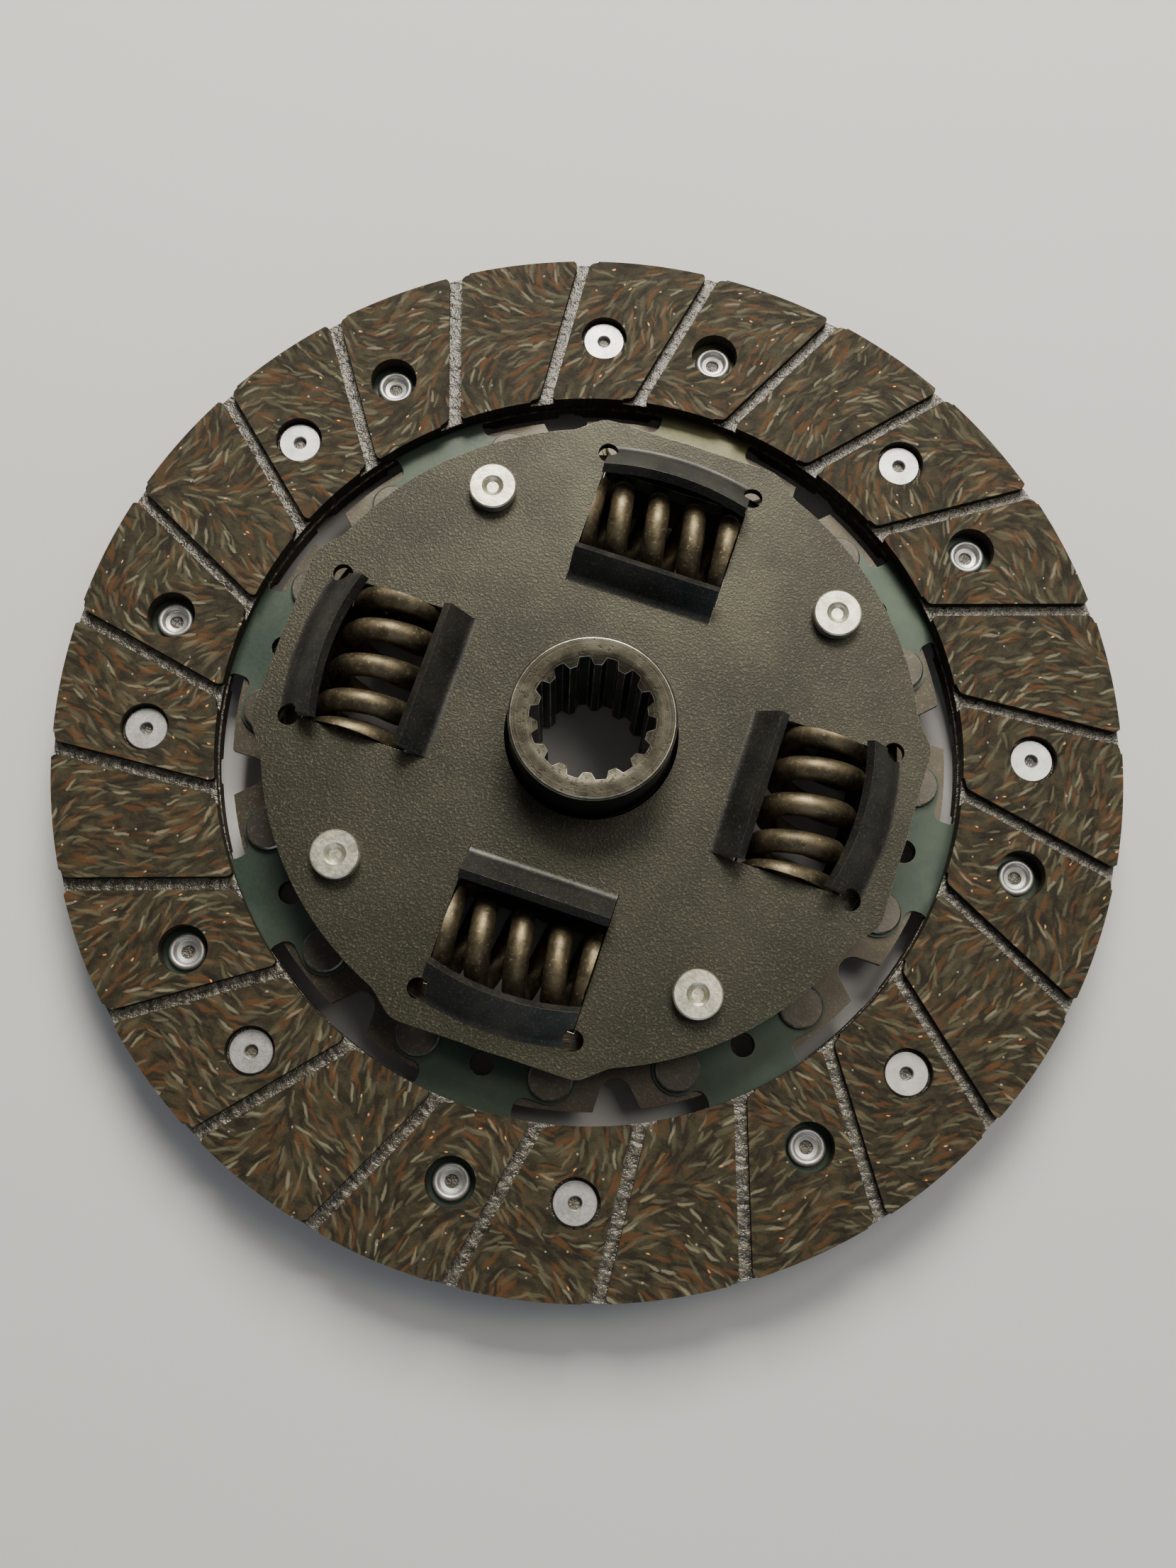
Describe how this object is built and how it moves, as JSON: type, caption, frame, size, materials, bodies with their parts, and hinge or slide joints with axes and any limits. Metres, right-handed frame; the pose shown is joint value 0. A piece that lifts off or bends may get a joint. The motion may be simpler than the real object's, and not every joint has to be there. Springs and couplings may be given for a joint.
{
  "type": "clutch disc",
  "caption": "Dry friction clutch disc: grooved facings riveted to cushion segments, with a splined hub that drives it through torsion springs.",
  "frame": {"origin": "on the hub's axis, at the hub's rear end face on which the disc lies", "axes": "+Z along the hub's axis towards the pressure plate side, the side with the front plate; +X through the middle of torsion_spring_1"},
  "size_m": [0.2, 0.2, 0.0323],
  "materials": {
    "hub_steel": "machined steel, oiled and slightly browned",
    "front_plate_steel": "pressed steel, phosphated dark taupe",
    "carrier_steel": "pressed steel, dark brown-grey",
    "segment_rivet_steel": "steel rivets, dark",
    "facing_rivet_metal": "tubular rivets, matte silver",
    "friction_lining": "moulded fibre lining, dark brown, ground",
    "friction_plastic": "filled friction plastic",
    "damper_spring_steel": "spring steel, blued",
    "torsion_spring_steel": "spring steel wire, bronze-brown",
    "stop_pin_steel": "zinc plated steel, faintly yellow",
    "segment_lacquer": "spring steel sheet, sage green lacquer"
  },
  "bodies": {
    "hub": {"hub": "hub_steel"},
    "disc": {"front_plate": "front_plate_steel", "carrier_plate": "carrier_steel", "segment_rivets": "segment_rivet_steel", "front_facing_rivets": "facing_rivet_metal", "rear_facing_rivets": "facing_rivet_metal", "front_facing": "friction_lining", "rear_facing": "friction_lining", "front_friction_washer": "friction_plastic", "rear_friction_ring": "friction_plastic", "cone_spring_washer": "damper_spring_steel", "support_washer": "damper_spring_steel", "stop_pin_1": "stop_pin_steel", "stop_pin_2": "stop_pin_steel", "stop_pin_3": "stop_pin_steel", "stop_pin_4": "stop_pin_steel", "cushion_segment_1": "segment_lacquer", "cushion_segment_2": "segment_lacquer", "cushion_segment_3": "segment_lacquer", "cushion_segment_4": "segment_lacquer", "cushion_segment_5": "segment_lacquer", "cushion_segment_6": "segment_lacquer", "cushion_segment_7": "segment_lacquer", "cushion_segment_8": "segment_lacquer"},
    "springs": {"torsion_spring_1": "torsion_spring_steel", "torsion_spring_2": "torsion_spring_steel", "torsion_spring_3": "torsion_spring_steel", "torsion_spring_4": "torsion_spring_steel"}
  },
  "joints": [
    {"name": "disc_twist", "type": "hinge", "parent": "hub", "child": "disc", "pos_m": [0, 0, 0.01365], "axis": [0, 0, 1], "range_deg": [-7, 7], "stiffness_Nm_per_rad": 10},
    {"name": "springs_follow", "type": "hinge", "parent": "hub", "child": "springs", "pos_m": [0, 0, 0.01365], "axis": [0, 0, 1], "range_deg": [-3.5, 3.5], "deforming": ["torsion_spring_1", "torsion_spring_2", "torsion_spring_3", "torsion_spring_4"]}
  ],
  "couplings": [
    {"joint": "springs_follow", "follows": "disc_twist", "ratio": 0.5}
  ]
}
